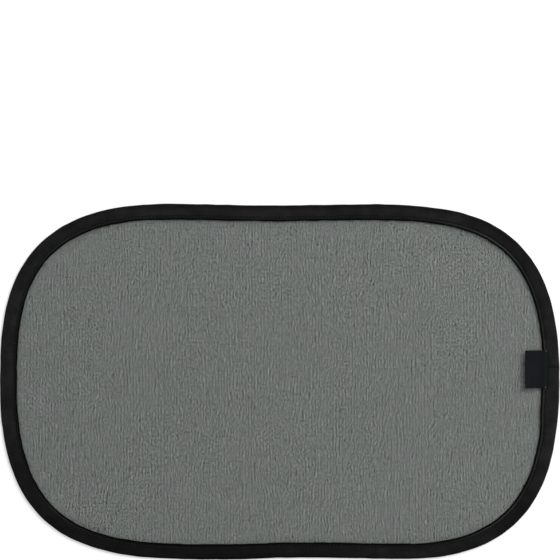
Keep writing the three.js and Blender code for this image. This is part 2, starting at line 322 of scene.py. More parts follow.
@dataclass(frozen=True)
class KnitFinish:
    """Black polyester mesh: staggered openings between upright wales, uneven from wale to wale."""

    thread: Colour = (0.066, 0.072, 0.069, 1)
    worn_and_lit: Colour = (0.086, 0.092, 0.089, 1)
    warm: Colour = (0.086, 0.078, 0.080, 1)
    cool: Colour = (0.066, 0.084, 0.078, 1)
    wale: float = 1.3
    course: float = 0.7
    open_half: tuple[float, float] = (0.393, 0.340)
    unevenness: float = 0.26
    drift: float = 9.0
    pull: float = 4.0
    paired: float = 1.8
    loose: float = 7.6
    long: float = 0.8
    yarn_shade: float = 1.3
    relief: float = 0.0001
    sheen: float = 0.05
    shine: float = 0.2
    EDGE_SHADE: ClassVar[str] = "edge_shade"

    def material(self) -> bpy.types.Material:
        """The mesh's material."""
        board = Board("knitted_mesh")
        place = board.millimetres()
        x, y = board.split(place)
        # The wales wander a little, as they do where the mesh was pulled taut by hand.
        drift = board.times(board.wander(board.stretched(place, (1, 0.6, 0)), 60.0), self.drift)
        pull = board.times(board.wander(place, 4.5, 1.0), self.pull)
        across = board.plus(x, board.plus(drift, pull))
        row = board.math("DIVIDE", y, self.course)
        odd = board.math("FLOORED_MODULO", board.math("FLOOR", row), 2)
        column = board.plus(board.math("DIVIDE", across, self.wale), board.times(odd, 0.5))
        streak = self.streaks(board, place, across)
        hole = self.opening(board, column, row, board.math("SQRT", board.plus(1, streak)))
        hue = board.spread(board.noise(place, 26.0), 0.3, 0.7, 0, 1)
        yarn = board.blend(board.noise(place, 3.0), self.thread, self.worn_and_lit)
        colour = board.blend(0.5, board.blend(hue, self.warm, self.cool), yarn)
        # The yarn follows the openings' unevenness, and along the binding's inner edge it takes
        # painted shade.
        colour = board.darker(colour, board.math("MULTIPLY_ADD", streak, self.yarn_shade, 1.0))
        ridge = board.math("COSINE", board.times(column, 2 * math.pi))
        strands = board.noise(place, 0.5)
        height = board.plus(board.times(ridge, 0.5), strands)
        solid = board.cloth(colour, board.spread(strands, 0.3, 0.7, 0.7, 0.9),
                            board.bump(height, self.relief), self.sheen, self.shine)
        clear = board.add("BsdfTransparent", 0, Color=(1, 1, 1, 1))
        return board.finish(board.together("MixShader", solid, clear, hole))

    def streaks(self, board: Board, place: Socket,
                across: Socket) -> Socket:
        """How much more or less open each bit of wale is than the mean, with painted shade along
        the binding's inner edge taken off.

        Args:
            board: The material's board.
            place: The place in millimetres.
            across: The place across the wales.

        Returns:
            A share about zero.
        """
        pair = board.wave(across, 2 * self.wale)
        patch = board.noise(board.stretched(place, (1, 0.8, 0)), 9.0)
        patch = board.spread(patch, 0.38, 0.62, 0.15, 1)
        broken = board.noise(board.stretched(place, (1, 0.7, 0)), 3.2)
        broken = board.spread(broken, 0.35, 0.6, -0.3, 1)
        paired = board.times(board.times(pair, patch), board.times(broken, self.paired))
        loose = board.wander(board.stretched(place, (1, 0.7, 0)), 1.15, 1.0)
        long = board.wander(board.stretched(place, (1, 0.2, 0)), 2.2)
        both = board.plus(paired, board.times(loose, self.loose))
        both = board.plus(both, board.times(long, self.long))
        # Painted shade: along the binding's inner edge the mark closes the openings and darkens the
        # yarn.
        return board.minus(board.times(both, self.unevenness), board.mark(self.EDGE_SHADE))

    def opening(self, board: Board, column: Socket, row: Socket,
                reach: Socket) -> Socket:
        """One inside an opening and zero on the thread.

        Args:
            board: The material's board.
            column: The place across the wales, counted in wales.
            row: The place along them, counted in courses.
            reach: How much larger the opening is than the mean.

        Returns:
            The share that is open.
        """
        parts = []
        for line, half in zip((column, row), self.open_half):
            off = board.math("ABSOLUTE", board.minus(board.math("FRACT", line), 0.5))
            parts.append(board.math("POWER", board.math("DIVIDE", off, half), 2))
        away = board.math("DIVIDE", board.math("SQRT", board.plus(*parts)), reach)
        return board.spread(away, 0.93, 1.07, 1, 0)


@dataclass(frozen=True)
class FilmFinish:
    """Clear soft film with a wet gloss and faint waves."""

    through: Colour = (0.950, 0.972, 0.957, 1)
    body: Colour = (0.8, 0.82, 0.82, 1)

    def material(self) -> bpy.types.Material:
        """The film's material."""
        board = Board("clear_film")
        place = board.millimetres()
        waves = board.noise(board.stretched(place, (1, 0.7, 1)), 34.0, 2.0)
        scuffs = board.noise(board.stretched(place, (1, 5, 1)), 12.0, 4.0, 0.7)
        normal = board.bump(waves, 0.0006)
        gloss = board.add("BsdfPrincipled", 0, Base_Color=self.body, Normal=normal,
                          Roughness=board.spread(scuffs, 0.35, 0.75, 0.08, 0.22))
        clear = board.add("BsdfTransparent", 0, Color=self.through)
        edge = board.add("LayerWeight", "Fresnel", Blend=0.22)
        share = board.plus(board.times(edge, 0.5),
                           board.spread(scuffs, 0.5, 0.9, 0.02, 0.06))
        return board.finish(board.together("MixShader", clear, gloss, share))


@dataclass(frozen=True)
class SteelFinish:
    """Drawn spring steel with fine lines along the wire."""

    bright: Colour = (0.55, 0.56, 0.57, 1)
    dull: Colour = (0.36, 0.36, 0.37, 1)

    def material(self, name: str) -> bpy.types.Material:
        """The steel's material.

        Args:
            name: The material's name.

        Returns:
            The material.
        """
        board = Board(name)
        place = board.millimetres()
        lines = board.noise(board.stretched(place, (0.3, 0.3, 4)), 0.5, 3.0)
        oil = board.noise(place, 7.0, 3.0)
        colour = board.blend(board.spread(oil, 0.35, 0.7, 0, 1), self.bright, self.dull)
        shader = board.add("BsdfPrincipled", 0, Base_Color=colour, Metallic=0.95,
                           Roughness=board.spread(lines, 0.3, 0.7, 0.28, 0.5),
                           Normal=board.bump(lines, 0.00003))
        return board.finish(shader)


@dataclass(frozen=True)
class LabelFinish:
    """Bare woven satin, nearly black with a cool cast."""

    warp: Colour = (0.0014, 0.0030, 0.0042, 1)
    float_thread: Colour = (0.0028, 0.0050, 0.0064, 1)
    pick: float = 0.45
    relief: float = 0.00006
    sheen: float = 0.01
    shine: float = 0.10

    def material(self) -> bpy.types.Material:
        """The label's material."""
        board = Board("woven_label")
        place = board.tape_place()
        x, y = board.split(place)
        threads = board.wave(y, self.pick)
        slant = board.wave(board.plus(x, board.times(y, 0.5)), 2 * self.pick)
        soft = board.noise(place, 2.5, 3.0)
        colour = board.blend(board.spread(soft, 0.35, 0.65, 0, 1), self.warp, self.float_thread)
        height = board.plus(board.times(threads, 0.5), board.times(slant, 0.25))
        return board.finish(board.cloth(colour, board.spread(soft, 0.3, 0.7, 0.5, 0.7),
                                        board.bump(height, self.relief), self.sheen, self.shine))


@dataclass(frozen=True)
class ThreadFinish:
    """Twisted sewing thread, with a painted highlight along each turn of its twist."""

    name: str
    deep: Colour
    light: Colour
    twist: float = 0.5

    def material(self) -> bpy.types.Material:
        """The thread's material."""
        board = Board(self.name)
        x, y = board.split(board.tape_place())
        twist = board.wave(board.plus(x, y), self.twist)
        # Painted highlight: the colour turns paler and darker with the twist.
        colour = board.blend(board.spread(twist, -0.6, 0.6, 0, 1), self.deep, self.light)
        return board.finish(board.cloth(colour, board.spread(twist, -1, 1, 0.7, 0.5),
                                        board.bump(twist, 0.00005), 0.1, 0.3))


@dataclass(frozen=True)
class FloorFinish:
    """Plain pale floor that shows white where it is bare and keeps the shade's shadow."""

    paint: float = 0.86
    glow: float = 0.32
    mottle: float = 0.005

    def material(self) -> bpy.types.Material:
        """The floor's material."""
        board = Board("pale_floor")
        place = board.add("TexCoord", "Object")
        mottle = board.spread(board.noise(place, 0.4), 0.2, 0.8, self.paint - self.mottle,
                              self.paint + self.mottle)
        paint = board.add("CombineColor", 0, Red=mottle, Green=mottle, Blue=mottle)
        matte = board.add("BsdfDiffuse", 0, Color=paint)
        seen = board.math("MAXIMUM", board.add("LightPath", "Is Camera Ray"),
                          board.math("MAXIMUM", board.add("LightPath", "Is Glossy Ray"),
                                     board.add("LightPath", "Is Transmission Ray")))
        bare = board.math("LESS_THAN", board.add("LightPath", "Transparent Depth"), 0.5)
        strength = board.times(board.times(seen, bare), self.glow)
        glow = board.add("Emission", 0, Color=(1, 1, 1, 1), Strength=strength)
        return board.finish(board.together("AddShader", matte, glow))


def ease(value: Array, low: float, high: float) -> Array:
    """A smooth step from nought at low to one at high."""
    share = np.clip((value - low) / (high - low), 0, 1)
    return share * share * (3 - 2 * share)


def hump(off: Array, half: float) -> Array:
    """A smooth hump, one high where off is nought."""
    return np.exp(-((off / half) ** 2))


class Cloth:
    """Ways to turn arrays of points into mesh objects with a map in real lengths."""

    MAP = "cloth_map"

    @staticmethod
    def grid(name: str, points: Array, places: Array, round_rows: bool,
             round_columns: bool, wrap: tuple[float, float] = (0.0, 0.0),
             marks: dict[str, Array] | None = None) -> bpy.types.Object:
        """A mesh of four-sided faces from a grid of points.

        Args:
            name: The object's name.
            points: Rows by columns by three, in metres.
            places: Rows by columns by two, the place on the cloth in metres.
            round_rows: Whether the last row meets the first.
            round_columns: Whether the last column meets the first.
            wrap: What the map gains across a closed row and column.
            marks: Numbers that each point carries, by name.

        Returns:
            The object, linked to the scene.
        """
        rows, columns = points.shape[:2]
        i = np.arange(rows if round_rows else rows - 1)
        j = np.arange(columns if round_columns else columns - 1)
        a, b = np.meshgrid(i, j, indexing="ij")
        next_a, next_b = (a + 1) % rows, (b + 1) % columns
        faces = np.stack([a * columns + b, next_a * columns + b, next_a * columns + next_b,
                          a * columns + next_b], -1).reshape(-1, 4)
        mesh = bpy.data.meshes.new(name)
        mesh.from_pydata(points.reshape(-1, 3).tolist(), [], faces.tolist())
        flat = places.reshape(-1, 2)[faces].copy()
        over_rows = (next_a < a).reshape(-1)
        over_columns = (next_b < b).reshape(-1)
        flat[over_rows, 1, 0] += wrap[0]
        flat[over_rows, 2, 0] += wrap[0]
        flat[over_columns, 2, 1] += wrap[1]
        flat[over_columns, 3, 1] += wrap[1]
        layer = mesh.uv_layers.new(name=Cloth.MAP)
        layer.data.foreach_set("uv", flat.reshape(-1).astype(np.float32))
        mesh.polygons.foreach_set("use_smooth", np.ones(len(faces), dtype=bool))
        for mark, values in (marks or {}).items():
            layer = mesh.attributes.new(mark, "FLOAT", "POINT")
            layer.data.foreach_set("value", values.reshape(-1).astype(np.float32))
        return Cloth.linked(mesh)

    @staticmethod
    def linked(mesh: bpy.types.Mesh) -> bpy.types.Object:
        """Puts a mesh into the scene.

        Args:
            mesh: The mesh.

        Returns:
            Its new object, which has the same name.
        """
        mesh.update()
        piece = bpy.data.objects.new(mesh.name, mesh)
        bpy.context.scene.collection.objects.link(piece)
        return piece

    @staticmethod
    def tubes(name: str, lines: list[Array], radii: list[Array],
              sides: int = 6) -> bpy.types.Object:
        """Short round threads, closed at both ends, as one mesh.

        Args:
            name: The object's name.
            lines: For each thread, its points.
            radii: For each thread, its radius at each point.
            sides: The sides of each tube.

        Returns:
            The object, linked to the scene.
        """
        points, faces, places = [], [], []
        turn = np.linspace(0, 2 * math.pi, sides, endpoint=False)
        for line, radius in zip(lines, radii):
            start = len(points)
            along = np.gradient(line, axis=0)
            along /= np.linalg.norm(along, axis=1)[:, None]
            side = np.cross(along, (0, 0, 1))
            side /= np.linalg.norm(side, axis=1)[:, None]
            up = np.cross(side, along)
            way = np.concatenate([[0], np.cumsum(np.linalg.norm(np.diff(line, axis=0), axis=1))])
            for k, centre in enumerate(line):
                spokes = np.cos(turn)[:, None] * side[k] + np.sin(turn)[:, None] * up[k]
                points.extend((centre + radius[k] * spokes).tolist())
                places.extend([(way[k], t * radius[k]) for t in turn])
            for k in range(len(line) - 1):
                for m in range(sides):
                    n = (m + 1) % sides
                    here = start + k * sides
                    faces.append((here + m, here + n, here + sides + n, here + sides + m))
            faces.append(tuple(range(start + sides - 1, start - 1, -1)))
            last = start + (len(line) - 1) * sides
            faces.append(tuple(range(last, last + sides)))
        mesh = bpy.data.meshes.new(name)
        mesh.from_pydata(points, [], faces)
        layer = mesh.uv_layers.new(name=Cloth.MAP)
        for polygon in mesh.polygons:
            polygon.use_smooth = len(polygon.vertices) == 4
            for loop in polygon.loop_indices:
                layer.data[loop].uv = places[mesh.loops[loop].vertex_index]
        return Cloth.linked(mesh)


def place_piece(piece: bpy.types.Object, material: bpy.types.Material, slot: Slot,
                *nodes: str) -> None:
    """Gives a piece its finish and its place in the frame.

    Args:
        piece: The new piece.
        material: Its material.
        slot: The record's slot for the piece; not used.
        *nodes: The CAD nodes that it stands for.
    """
    piece.data.materials.append(material)
    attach(piece, BODY)
    if nodes:
        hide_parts(*nodes)
    log.info("%s: %d faces", piece.name, len(piece.data.polygons))


@dataclass
class Outline:
    """The binding's outer and inner edges, read from the frame and smoothed."""

    stitches: int = 436
    steps_per_stitch: int = 3
    rays: int = 1440
    waves: int = 64
    ray_start: float = 0.1
    inner_level: float = 0.78
    outer: Array = field(init=False)
    inner: Array = field(init=False)

    def __post_init__(self) -> None:
        """Reads both edges and spaces the outer one evenly."""
        low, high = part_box("edge_binding")
        middle, near_front = (high.z + low.z) / 2, self.inner_level * high.z
        tree = self.tree()
        reach = high.length + self.ray_start
        self.outer = self.smooth([self.hit(tree, turn, reach, middle) for turn in self.turns()])
        self.inner = self.smooth([self.hit(tree, turn, 0.0, near_front) for turn in self.turns()])
        closed = np.vstack([self.outer, self.outer[:1]])
        way = np.concatenate([[0], np.cumsum(np.linalg.norm(np.diff(closed, axis=0), axis=1))])
        self.length = float(way[-1])
        self.count = self.stitches * self.steps_per_stitch
        even = np.arange(self.count) * self.length / self.count
        self.points = np.stack([np.interp(even, way, closed[:, k]) for k in (0, 1)], -1)
        step = np.roll(self.points, -1, 0) - np.roll(self.points, 1, 0)
        step /= np.linalg.norm(step, axis=1)[:, None]
        self.outward = np.stack([step[:, 1], -step[:, 0]], -1)
        gaps = np.linalg.norm(self.points[:, None] - self.inner[None], axis=2)
        self.width = gaps.min(axis=1)
        self.along = even
        self.pitch = self.length / self.stitches

    def turns(self) -> Array:
        """The directions of the rays."""
        return np.linspace(0, 2 * math.pi, self.rays, endpoint=False)

    @staticmethod
    def tree() -> BVHTree:
        """The binding's faces, for rays."""
        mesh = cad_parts["edge_binding"].data
        return BVHTree.FromPolygons([v.co.copy() for v in mesh.vertices],
                                    [tuple(p.vertices) for p in mesh.polygons])

    @staticmethod
    def hit(tree: BVHTree, turn: float, reach: float, height: float) -> float:
        """How far from the middle a level ray meets the binding.

        Args:
            tree: The binding's faces.
            turn: The ray's direction.
            reach: Where the ray starts, nought for the middle.
            height: The ray's level.

        Returns:
            The distance from the middle.
        """
        out = Vector((math.cos(turn), math.sin(turn), 0))
        start = out * reach + Vector((0, 0, height))
        found = tree.ray_cast(start, -out if reach else out)[0]
        return math.hypot(found.x, found.y)

    def smooth(self, radii: list[float]) -> Array:
        """Takes the facets out of a ring.

        Args:
            radii: The distance from the middle in each direction.

        Returns:
            The ring's points.
        """
        parts = np.fft.rfft(np.array(radii))
        parts[self.waves:] = 0
        radius = np.fft.irfft(parts, self.rays)
        turn = self.turns()
        return np.stack([radius * np.cos(turn), radius * np.sin(turn)], -1)

    def at(self, along: Array, values: Array) -> Array:
        """Values of the stations, read at other places along the edge.

        Args:
            along: The places, in metres.
            values: One value or row for each station.

        Returns:
            The values there.
        """
        share = np.mod(along, self.length) / self.length * self.count
        low = np.floor(share).astype(int) % self.count
        part = share - np.floor(share)
        if values.ndim > 1:
            part = part[..., None]
        return values[low] * (1 - part) + values[(low + 1) % self.count] * part

    def place(self, along: Array, inset: Array, height: Array) -> Array:
        """Points given by their way along the edge, inset and height.

        Args:
            along: The way along the outer edge.
            inset: The distance inwards.
            height: The height.

        Returns:
            The points.
        """
        flat = self.at(along, self.points) - self.at(along, self.outward) * inset[..., None]
        return np.concatenate([flat, height[..., None]], -1)

    def nearest(self, x: float, y: float) -> float:
        """The way along the edge of the station nearest to a point."""
        return float(self.along[np.linalg.norm(self.points - (x, y), axis=1).argmin()])


@dataclass
class Puckers:
    """Small folds of a sewn cloth, made of many slanting waves. Millimetres."""

    seed: int
    depth: float
    longest: float
    shortest: float
    slant: float
    count: int = 42
    PHASES: ClassVar[float] = 6.28

    def height(self, along: Array, across: Array, length: float) -> Array:
        """The height of the folds.

        Args:
            along: The way along the cloth.
            across: The way across it.
            length: The way after which the folds repeat.

        Returns:
            The height at each place.
        """
        chance = random.Random(self.seed)
        total = np.zeros(np.broadcast(along, across).shape)
        for _ in range(self.count):
            wave = math.exp(chance.uniform(math.log(self.shortest), math.log(self.longest)))
            turns = max(1, round(length / wave))
            lean = chance.gauss(0, self.slant)
            strength = chance.gauss(0, 1) * (wave / self.longest) ** 0.4
            phase = lean * across + chance.uniform(0, self.PHASES)
            total += strength * np.sin(2 * math.pi * turns * along / length + phase)
        return total * self.depth / math.sqrt(self.count / 2)


@dataclass
class EdgeBinding:
    """The woven tape folded round the hoop, hemmed and sewn down. Millimetres."""

    outline: Outline
    rim: float = 1.4
    slot_back: float = 0.9
    slot_front: float = 1.9
    slot_depth: float = 5.9
    seam: float = 3.0
    groove: float = 0.55
    groove_half: float = 0.6
    tape: float = 0.45
    lap_y: float = 12.6
    lap_step: float = 0.6
    lap_length: float = 38.0
    lap_fade: float = 24.0
    needle_dip: float = 0.22
    valley: float = 0.18
    valley_inset: float = 3.7
    valley_half: float = 1.5
    belly: float = 0.10
    belly_half: float = 3.0
    belly_shift: float = 0.6
    held: float = 2.5
    hem_round: float = 0.9
    hem_drop: float = 0.75
    bead: float = 0.16
    bead_half: float = 0.55
    bead_inset: float = 1.2
    scallop: float = 0.16
    corner_reach: float = 42
    right_reach: float = 90
    shaded_bottom_reach: float = 170
    # Painted light and shade on the tape: shade along the rim's top and bottom, a highlight at its
    # right end, shade in the seam groove, shadow along the hem's edge and the lap's step, and shade
    # along the bottom and round the corners.
    rim_shade: float = 0.55
    right_highlight: float = 0.4
    seam_shade: float = 0.88
    hem_shade: float = 0.95
    lap_shade: float = 0.75
    bottom_shade: float = 0.55
    corner_shade: float = 0.4
    folds: Puckers = field(default_factory=lambda: Puckers(11, 0.15, 34, 5, 0.12))
    ripples: Puckers = field(default_factory=lambda: Puckers(23, 0.07, 9, 3.2, 0.35))
    edge_wander: Puckers = field(default_factory=lambda: Puckers(5, 0.13, 90, 12, 0))
    hem_wander: Puckers = field(default_factory=lambda: Puckers(7, 0.16, 60, 7, 0))
    wear_and_light: Puckers = field(default_factory=lambda: Puckers(19, 0.16, 260, 14, 0.1))
    # Each corner's place, and how much painted shade and highlight it takes.
    CORNERS: ClassVar[tuple[tuple[float, float, float], ...]] = (
        (0.187, 0.116, 1.0), (-0.187, 0.116, 0.35), (-0.187, -0.116, 0.8), (0.187, -0.116, 0.9))
    RIGHT_END: ClassVar[float] = 0.24
    FRONT_SHARES: ClassVar[tuple[float, ...]] = (
        0.06, 0.14, 0.22, 0.30, 0.40, 0.50, 0.60, 0.70, 0.79, 0.87)
    SEAM_OFFS: ClassVar[tuple[float, ...]] = (
        -0.95, -0.65, -0.38, -0.18, 0, 0.18, 0.38, 0.65, 0.95, 1.3, 1.7, 2.1, 2.45, 2.68, 2.83,
        2.94, 3.0)
    BACK_OFFS: ClassVar[tuple[float, ...]] = (2.2, 2.7, 3.0, 3.3, 3.8)
    BACK_SHARES: ClassVar[tuple[float, ...]] = (0.75, 0.45, 0.2)

    def __post_init__(self) -> None:
        """Finds the lap, the bottom stretch that takes painted shade, the right end and the corners
        on the edge.
        """
        self.lap = self.outline.nearest(self.RIGHT_END, self.lap_y * MM) / MM
        self.shaded_bottom = self.outline.nearest(-0.07, -0.15) / MM
        self.right_end = self.outline.nearest(self.RIGHT_END, -0.01) / MM
        self.corners = [(self.outline.nearest(x, y) / MM, share) for x, y, share in self.CORNERS]

    def past_lap(self, along: Array) -> Array:
        """How far below the lap's edge a place is, along the edge."""
        length = self.outline.length / MM
        return np.mod(self.lap - along + 20, length) - 20

    def lift(self, along: Array) -> Array:
        """How much the tape's lower end lifts its front at the lap.

        Args:
            along: The way along the edge.

        Returns:
            The lift at each place.
        """
        past = self.past_lap(along)
        settled = 1 - ease(past, self.lap_length, self.lap_length + self.lap_fade)
        return self.tape * ease(past, 0, self.lap_step) * settled

    def stitch_phase(self, along: Array) -> Array:
        """One at a needle hole and nought halfway between two."""
        turns = along / (self.outline.pitch / MM)
        return (0.5 + 0.5 * np.cos(2 * math.pi * turns)) ** 2

    def front(self, along: Array, inset: Array, width: Array) -> Array:
        """The height of the tape's front.

        Args:
            along: The way along the edge.
            inset: The distance from the outer edge.
            width: The binding's width there.

        Returns:
            The height at each place.
        """
        length = self.outline.length / MM
        before_crest = np.maximum(self.rim - inset, 0)
        at_rim = self.rim + np.sqrt(np.maximum(self.rim**2 - before_crest**2, 0))
        seam = width - self.seam
        valley = -self.valley * hump(inset - self.valley_inset, self.valley_half)
        middle = (self.valley_inset + seam) / 2
        belly = self.belly * hump(inset - middle - self.belly_shift, self.belly_half)
        at_hole = self.stitch_phase(along)
        depth = self.groove + self.needle_dip * (at_hole - 0.4)
        groove = -depth * hump(inset - seam, self.groove_half)
        free = np.clip((inset - 1.0) / self.held, 0, 1) * np.clip((width - inset) / self.held, 0, 1)
        loose = self.folds.height(along, inset, length) + self.ripples.height(along, inset, length)
        edge = np.clip(1 - (width - inset) / self.hem_round, 0, 1)
        turned = -self.hem_drop * (1 - np.sqrt(np.maximum(1 - edge**2, 0)))
        beads = self.bead * (1 - at_hole) * hump(inset - seam - self.bead_inset, self.bead_half)
        lifted = self.lift(along) * np.clip(inset / self.rim, 0, 1)
        return at_rim + valley + belly + groove + loose * free + turned + beads + lifted

    def near(self, along: Array, place: float, reach: float) -> Array:
        """How near a place on the edge is, from one there down to nought.

        Args:
            along: The way along the edge.
            place: The place.
            reach: How far the nearness goes.

        Returns:
            The share at each place.
        """
        length = self.outline.length / MM
        return hump(np.mod(along - place + length / 2, length) - length / 2, reach)

    def painted_light_and_wear(self, along: Array, inset: Array, width: Array) -> Array:
        """How pale the tape is: painted light and shade on the rim, in the stitch groove, along the
        hem's edge, at the lap, round the corners and along the bottom, times slow random wear.

        Args:
            along: The way along the edge.
            inset: The distance from the outer edge.
            width: The binding's width there.

        Returns:
            The share of the tape's own colour.
        """
        to_hem = width - inset
        place = self.outline.place(along * MM, inset * MM, inset)
        ends = np.abs(place[..., 0]) / self.RIGHT_END
        at_right = self.near(along, self.right_end, self.right_reach)
        # Painted light on the rim: shade along its top and bottom, and a painted highlight at its
        # right end.
        wear_and_light = self.rim_shade * ends - self.rim_shade + self.right_highlight * at_right
        worn_and_lit = 1 + wear_and_light * (1 - ease(inset, 0.4, 5.5))
        # Painted shade in the stitch groove.
        groove = 1 - self.seam_shade * hump(to_hem - self.seam - 0.1, 0.5)
        # Round the corners the tape is gathered: its flat takes painted shade, and its hem ridge
        # there and at the right end takes a painted highlight.
        corner = sum(share * self.near(along, spot, self.corner_reach)
                     for spot, share in self.corners)
        ridge_highlight = np.minimum(corner + 0.8 * at_right, 1)
        zone = (1.9 * ridge_highlight - 0.25) * hump(to_hem - 2.1, 0.6)
        # Painted shadow along the hem's inner edge, where the tape meets the mesh.
        hem = (1 - self.hem_shade * (1 - ease(to_hem, 1.25, 1.6))) * (1 + zone)
        # Painted shadow along the lap's step.
        lap_edge = 1 - self.lap_shade * hump(self.past_lap(along) + 0.5, 0.7)
        slow = self.wear_and_light.height(along, 0.02 * inset, self.outline.length / MM)
        # Painted shade along the bottom, and on the tape's flat round the corners.
        shaded_bottom = 1 - self.bottom_shade * self.near(along, self.shaded_bottom, self.shaded_bottom_reach)
        shaded_bottom = shaded_bottom * (1 - self.corner_shade * corner * (1 - ease(3.4 - to_hem, 0, 0.8)))
        return np.clip(worn_and_lit * groove * hem * lap_edge * shaded_bottom * (1 + slow), 0.05, 2.4)

    def section(self) -> tuple[Array, Array]:
        """The tape cut across at every station, from the back of the rim round to the back.

        Returns:
            The inset and height of each point, stations by points.
        """
        along = self.outline.along[:, None] / MM
        length = self.outline.length / MM
        phase = self.stitch_phase(along)
        width = self.outline.width[:, None] / MM + self.hem_wander.height(along, 0, length)
        width = width + self.scallop * (0.5 - phase)
        insets, heights = [], []

        def add(inset: Array, height: Array | float) -> None:
            insets.append(inset + 0 * width)
            heights.append(height + 0 * width)

        for turn in np.linspace(0, math.pi / 2, 7):
            add(self.rim - self.rim * math.sin(turn), self.rim - self.rim * math.cos(turn))
        for turn in np.linspace(math.pi / 2, math.pi, 8)[1:]:
            inset = self.rim - self.rim * math.sin(turn) + 0 * width
            add(inset, self.front(along, inset, width))
        seam = width - self.seam
        for share in self.FRONT_SHARES:
            inset = self.rim + (seam - self.rim) * share
            add(inset, self.front(along, inset, width))
        for off in self.SEAM_OFFS:
            add(seam + off, self.front(along, seam + off, width))
        lip = self.front(along, width, width)
        front, back, deep = self.slot_front, self.slot_back, self.slot_depth
        add(width, (lip + front) / 2)
        for off, height in ((0.03, front + 0.05), (0.3, front), (deep - 0.4, front),
                            (deep, (front + back) / 2), (deep - 0.4, back), (0.3, back),
                            (0.03, back - 0.1), (0, 0.45), (0.08, 0.15), (0.35, 0.0)):
            add(width - off, height)
        for off in self.BACK_OFFS:
            add(width - off, 0.16 * hump(off - self.seam, 0.35))
        for share in self.BACK_SHARES:
            add(self.rim + (width - self.rim) * share, 0.0)
        return np.concatenate(insets, 1), np.concatenate(heights, 1)

    def build(self) -> None:
        """Makes the binding and dresses it."""
        insets, heights = self.section()
        along = np.broadcast_to(self.outline.along[:, None], insets.shape)
        wander = self.edge_wander.height(along / MM, 0, self.outline.length / MM)
        fade = np.clip(1 - insets / 6, 0, 1)
        points = self.outline.place(along, (insets + wander * fade) * MM, heights * MM)
        across = np.cumsum(np.hypot(np.diff(insets, axis=1, prepend=insets[:, :1]),
                                    np.diff(heights, axis=1, prepend=heights[:, :1])), 1) * MM
        places = np.stack([along, across], -1)
        round_the_tape = float(across.max() + 0.003)
        width = self.outline.width[:, None] / MM
        width = np.maximum(width, insets.max(1, keepdims=True))
        marks = {TapeFinish.LIGHT_AND_WEAR: self.painted_light_and_wear(along / MM, insets, width)}
        piece = Cloth.grid("binding_tape", points, places, True, True,
                           (self.outline.length, round_the_tape), marks)
        place_piece(piece, TapeFinish().material(), Slot.TAPE, "edge_binding")


@dataclass
class FoldedLabel:
    """One ribbon folded back on itself, with its cut ends sewn over the binding. Millimetres."""

    outline: Outline
    binding: EdgeBinding
    ply: float = 0.3
    ply_gap: float = 0.12
    free: float = 15.5
    lift: float = 3.0
    sag: float = 0.35
    seat: float = 2.92
    corner: float = 1.0
    puff: float = 0.22
    seam_half: float = 0.8
    rows: int = 56
    columns: int = 64

    def __post_init__(self) -> None:
        """Takes the label's place from its node."""
        low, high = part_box("label")
        self.low_y, self.high_y = low.y / MM, high.y / MM
        self.cut_x, self.fold_x = high.x / MM, low.x / MM
        self.inner_x = self.fold_x + self.free

    def under(self, x: Array, y: Array) -> Array:
        """The height of the lower ply's underside.

        Args:
            x: The place along the ribbon.
            y: The place up the label.

        Returns:
            The height.
        """
        share = np.clip((self.inner_x - x) / self.free, 0, 1)
        up = (y - self.low_y) / (self.high_y - self.low_y)
        lap = self.binding.tape * (1 - ease(y, self.binding.lap_y - 1, self.binding.lap_y + 5))
        seam = 0.12 * hump(x - self.inner_x - self.binding.seam, self.seam_half)
        seat = self.seat + lap - seam
        hang = -self.sag * np.sin(math.pi * np.clip(share * 1.5, 0, 1))
        lift = self.lift * share**1.7 * (1 + 0.22 * np.cos(2 * math.pi * (up - 0.1)))
        return seat + hang + lift

    def over(self, x: Array, y: Array) -> Array:
        """The height of the label's upper face.

        Args:
            x: The place along the ribbon.
            y: The place up the label.

        Returns:
            The height.
        """
        share = np.clip((self.inner_x - x) / self.free, 0, 1)
        puff = self.puff * np.sin(math.pi * share) ** 2
        seam = 0.10 * hump(x - self.inner_x - self.binding.seam, self.seam_half)
        return self.under(x, y) + 2 * self.ply + self.ply_gap + puff - seam

    def covers(self, x: Array, y: Array) -> Array:
        """Whether points lie under the label."""
        return (y > self.low_y) & (y < self.high_y) & (x > self.fold_x) & (x < self.cut_x)

    def build(self) -> None:
        """Makes the label and dresses it."""
        half = (self.ply * 2 + self.ply_gap) / 2
        run = self.cut_x - self.fold_x - half
        turn = math.pi * half * 0.6
        whole = 2 * run + turn
        along = np.linspace(0, whole, self.columns)
        across = np.linspace(self.low_y, self.high_y, self.rows)
        s, y = np.meshgrid(along, across, indexing="ij")
        back = s > run + turn / 2
        x = self.cut_x - np.where(back, whole - s, s)
        bend = np.clip((s - run) / turn, 0, 1) * math.pi
        inside = (s >= run) & (s <= run + turn)
        x = np.where(inside, self.fold_x + half - (half - self.ply / 2) * np.sin(bend), x)
        low = self.under(x, y) + self.ply / 2
        high = self.over(x, y) - self.ply / 2
        fold = (low + high) / 2 - (high - low) / 2 * np.cos(bend)
        z = np.where(inside, fold, np.where(back, high, low))
        nose = np.clip(1 - (x - self.fold_x) / self.corner, 0, 1)
        middle = (self.low_y + self.high_y) / 2
        pull = self.corner * (1 - np.sqrt(np.maximum(1 - nose**2, 0)))
        y = middle + (y - middle) * (1 - pull / ((self.high_y - self.low_y) / 2))
        points = np.stack([x, y, z], -1) * MM
        piece = Cloth.grid("folded_label", points, np.stack([s, y], -1) * MM, False, False)
        place_piece(piece, LabelFinish().material(), Slot.LABEL, "label")
        thick = piece.modifiers.new("cloth thickness", "SOLIDIFY")
        thick.thickness = self.ply * MM
        thick.offset = 0


